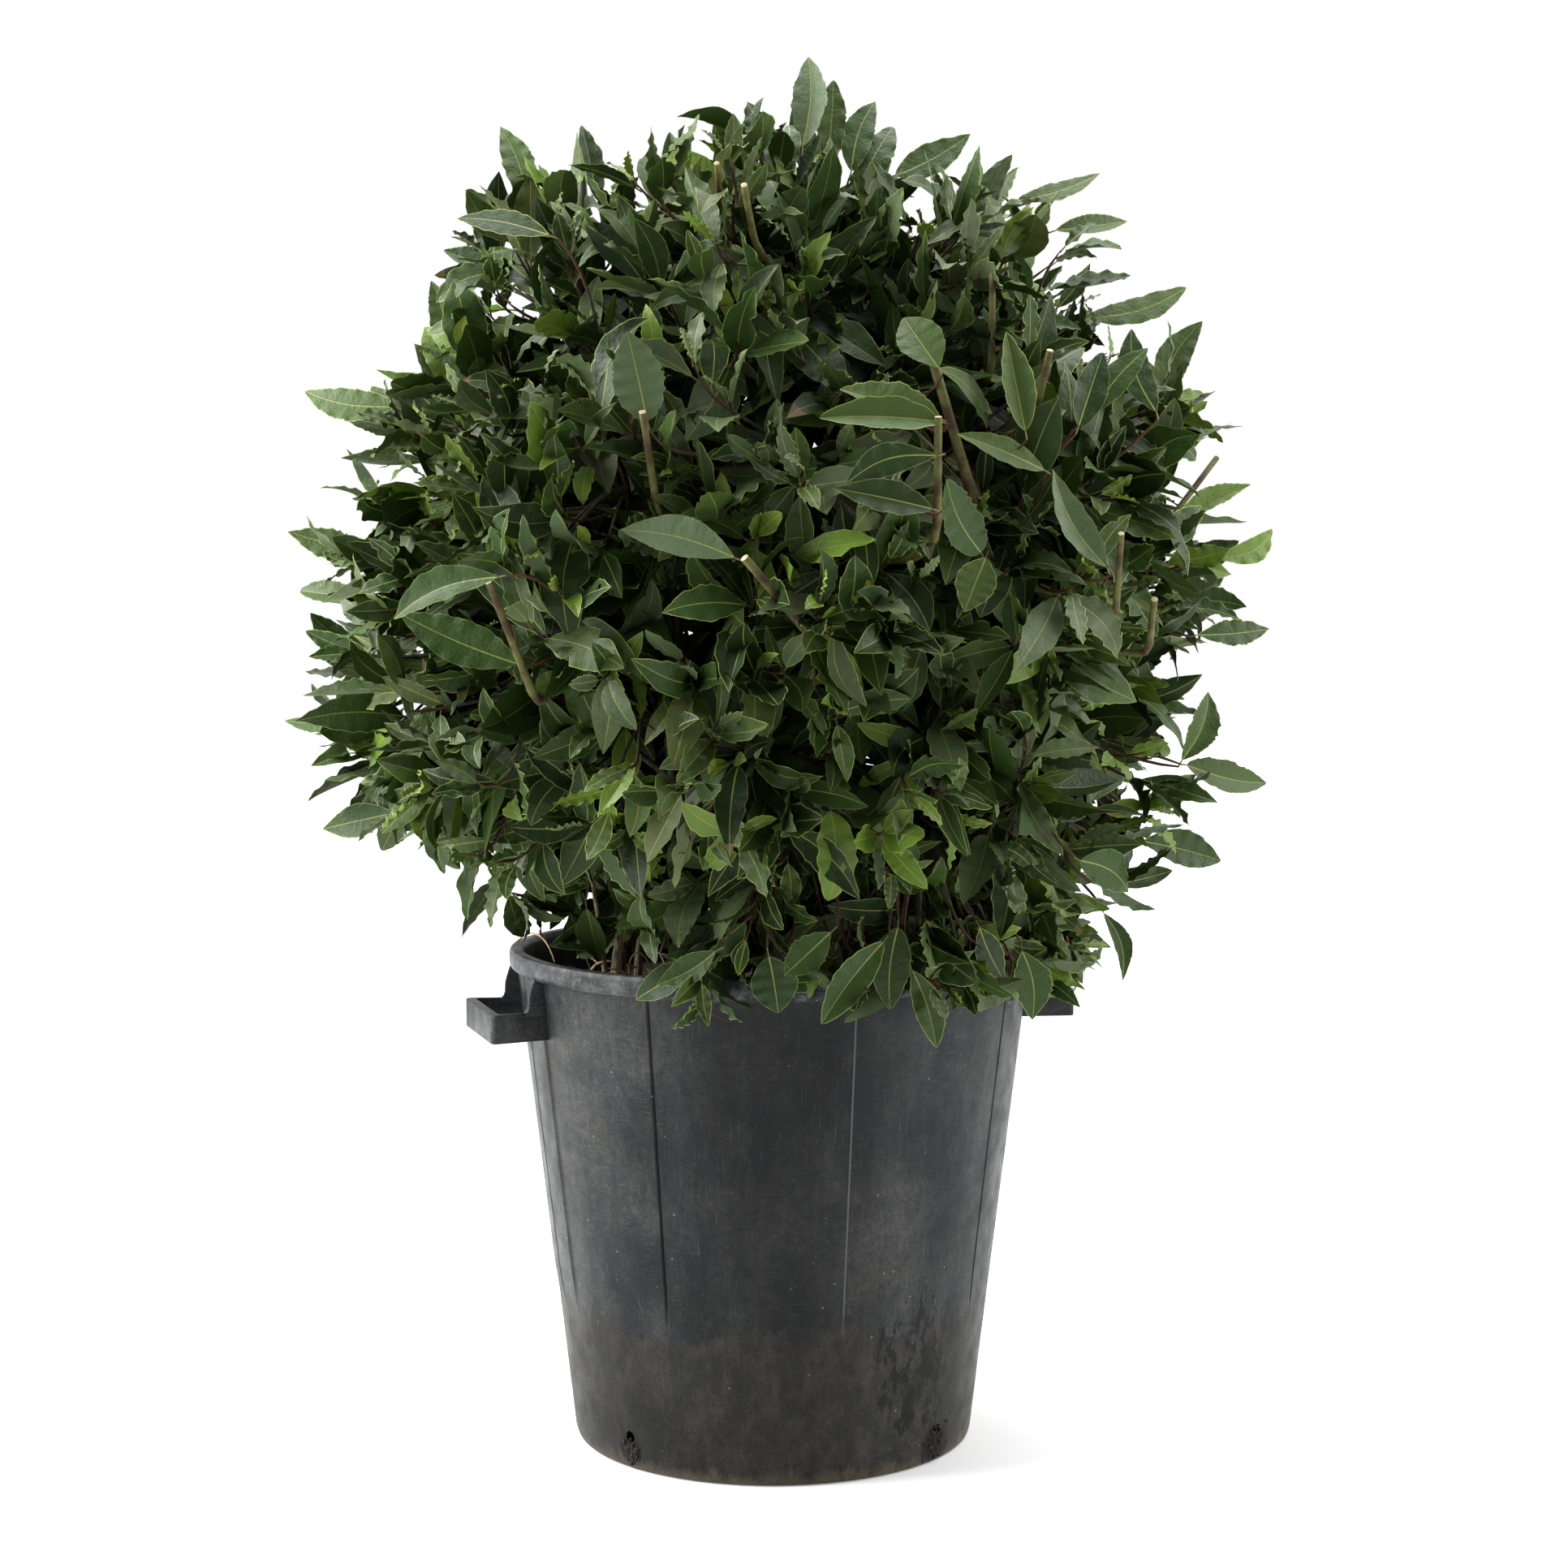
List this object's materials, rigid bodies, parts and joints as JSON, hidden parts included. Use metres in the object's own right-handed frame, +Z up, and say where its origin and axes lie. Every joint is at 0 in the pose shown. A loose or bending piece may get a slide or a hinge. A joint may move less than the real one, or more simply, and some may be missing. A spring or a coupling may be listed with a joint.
{
  "type": "potted bay laurel",
  "caption": "Dense, rounded bay laurel bush with pruned shoots, growing from several stems in a tapered black plastic tub with moulded loop handles.",
  "frame": {"origin": "centre of the tub's flat underside", "axes": "+Z up; the two handles lie along +X and -X; the side shown in the picture faces -Y, turned a little towards -X"},
  "size_m": [0.9958, 0.9417, 1.429],
  "materials": {
    "tub": "matte",
    "soil": "matte",
    "bark": "matte",
    "foliage": "satin"
  },
  "bodies": {
    "root": {"pot": "tub", "pot_handle_left": "tub", "pot_handle_right": "tub", "soil": "soil", "trunk": "bark", "stem_1": "bark", "stem_2": "bark", "stem_3": "bark", "stem_4": "bark", "stem_5": "bark", "bough_low_1": "bark", "bough_low_2": "bark", "bough_low_3": "bark", "bough_low_4": "bark", "bough_low_5": "bark", "bough_middle_1": "bark", "bough_middle_2": "bark", "bough_middle_3": "bark", "bough_middle_4": "bark", "bough_middle_5": "bark", "bough_top_1": "bark", "bough_top_2": "bark", "bough_top_3": "bark", "foliage_low_1": "foliage", "foliage_low_2": "foliage", "foliage_low_3": "foliage", "foliage_low_4": "foliage", "foliage_low_5": "foliage", "foliage_middle_1": "foliage", "foliage_middle_2": "foliage", "foliage_middle_3": "foliage", "foliage_middle_4": "foliage", "foliage_middle_5": "foliage", "foliage_top_1": "foliage", "foliage_top_2": "foliage", "foliage_top_3": "foliage"}
  },
  "joints": []
}
